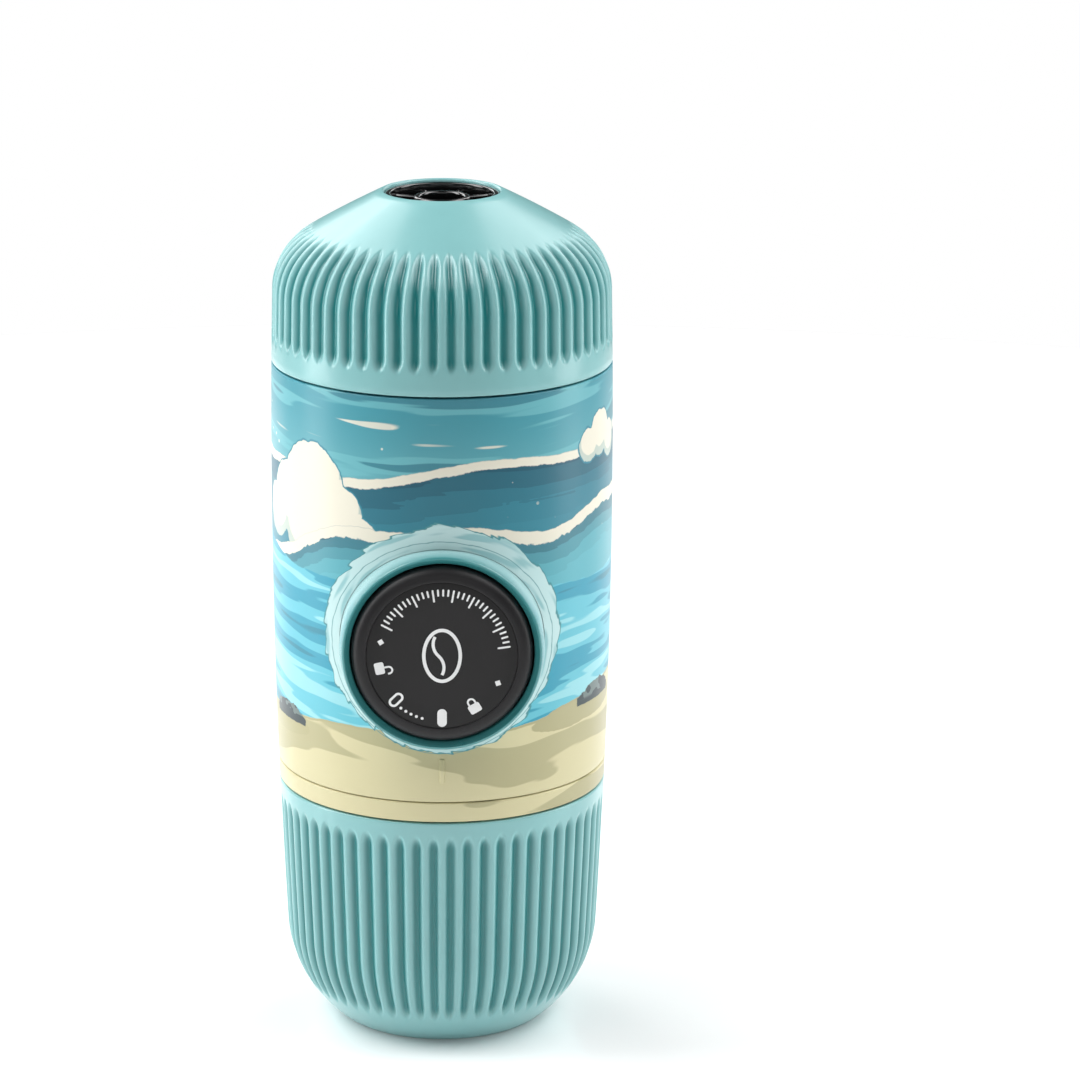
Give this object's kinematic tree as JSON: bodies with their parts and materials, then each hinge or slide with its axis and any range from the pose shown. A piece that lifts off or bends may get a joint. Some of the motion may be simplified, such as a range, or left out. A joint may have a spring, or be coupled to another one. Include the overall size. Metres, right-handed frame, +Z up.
{
  "type": "handheld manual espresso maker",
  "caption": "Handheld pump espresso maker: fluted cup and domed outlet head, printed pump body with a locking piston knob, water tank and filter basket inside.",
  "frame": {"origin": "centre of the cup's flat base", "axes": "+Z up through the outlet window, -Y towards the pump knob"},
  "size_m": [0.0622, 0.0665, 0.156],
  "materials": {
    "teal_plastic": "satin",
    "teal_gloss": "semi-gloss",
    "printed_plastic": "printed, satin",
    "clear_grey_plastic": "smoky, translucent",
    "black_plastic": "moulded",
    "black_satin": "satin",
    "black_gloss": "polished",
    "dial_black": "satin, white print",
    "grey_plastic": "low-friction plastic",
    "silicone": "translucent silicone",
    "black_rubber": "matt",
    "steel": "brushed",
    "ball_steel": "polished ball",
    "brass": "machined"
  },
  "bodies": {
    "cup": {"cup": "teal_plastic"},
    "tank": {"water_tank": "clear_grey_plastic", "vent_valve": "silicone"},
    "neck_ring": {"neck_ring": "black_rubber"},
    "tank_gasket": {"tank_gasket": "silicone"},
    "pump_body": {"lower_band": "printed_plastic", "body_shell": "printed_plastic", "boss_ring": "teal_gloss", "neck_socket": "black_plastic", "pump_housing": "black_plastic", "pump_cylinder": "steel", "cylinder_end_cap": "black_plastic", "end_cap_o_ring": "black_rubber", "rod_guide": "grey_plastic", "rod_seal": "black_rubber", "return_spring": "steel", "inlet_strainer": "steel", "inlet_valve_seat": "brass", "inlet_valve_spring": "steel", "outlet_valve_seat": "brass", "outlet_valve_spring": "steel", "outlet_valve_cap": "brass", "shower_screen": "steel", "brew_gasket": "silicone"},
    "plunger": {"plunger_rod": "grey_plastic", "piston_seal": "black_rubber"},
    "knob": {"piston_knob": "black_satin", "dial_disc": "dial_black", "knob_screw": "steel"},
    "inlet_ball": {"inlet_valve_ball": "ball_steel"},
    "outlet_ball": {"outlet_valve_ball": "ball_steel"},
    "scoop": {"scoop": "black_plastic"},
    "basket": {"filter_basket": "steel"},
    "basket_gasket": {"basket_gasket": "silicone"},
    "outlet_head": {"portafilter": "black_plastic", "spout": "black_gloss", "spout_insert": "black_gloss", "head_shell": "teal_plastic"}
  },
  "joints": [
    {"name": "tank_lift", "type": "slide", "parent": "cup", "child": "tank", "axis": [0, 0, 1], "range_m": [0, 0.045]},
    {"name": "body_lift", "type": "slide", "parent": "tank", "child": "neck_ring", "axis": [0, 0, 1], "range_m": [0, 0.025]},
    {"name": "body_rise", "type": "slide", "parent": "neck_ring", "child": "tank_gasket", "axis": [0, 0, 1], "range_m": [0, 0.00335]},
    {"name": "body_turn", "type": "hinge", "parent": "tank_gasket", "child": "pump_body", "pos_m": [0, 0, 0.05], "axis": [0, 0, 1], "range_deg": [0, 240]},
    {"name": "plunger_stroke", "type": "slide", "parent": "pump_body", "child": "plunger", "axis": [0, -1, 0], "range_m": [0, 0.017], "deforming": ["return_spring"]},
    {"name": "lock_turn", "type": "hinge", "parent": "plunger", "child": "knob", "pos_m": [0, -0.03, 0.0793], "axis": [0, -1, 0], "range_deg": [0, 45]},
    {"name": "inlet_ball_lift", "type": "slide", "parent": "pump_body", "child": "inlet_ball", "axis": [0, 0, 1], "range_m": [0, 0.001], "stiffness_N_per_m": 40, "springref_m": -0.001, "deforming": ["inlet_valve_spring"]},
    {"name": "outlet_ball_lift", "type": "slide", "parent": "pump_body", "child": "outlet_ball", "axis": [0, 0, 1], "range_m": [0, 0.001], "stiffness_N_per_m": 40, "springref_m": -0.001, "deforming": ["outlet_valve_spring"]},
    {"name": "scoop_lift", "type": "slide", "parent": "pump_body", "child": "scoop", "axis": [0, 0, 1], "range_m": [0, 0.025]},
    {"name": "basket_lift", "type": "slide", "parent": "scoop", "child": "basket", "axis": [0, 0, 1], "range_m": [0, 0.025]},
    {"name": "head_rise", "type": "slide", "parent": "basket", "child": "basket_gasket", "axis": [0, 0, 1], "range_m": [0, 0.00335]},
    {"name": "head_turn", "type": "hinge", "parent": "basket_gasket", "child": "outlet_head", "pos_m": [0, 0, 0.13], "axis": [0, 0, 1], "range_deg": [0, 240]}
  ],
  "couplings": [
    {"joint": "body_turn", "follows": "body_rise", "rad_per_m": 1250},
    {"joint": "head_turn", "follows": "head_rise", "rad_per_m": 1250}
  ]
}
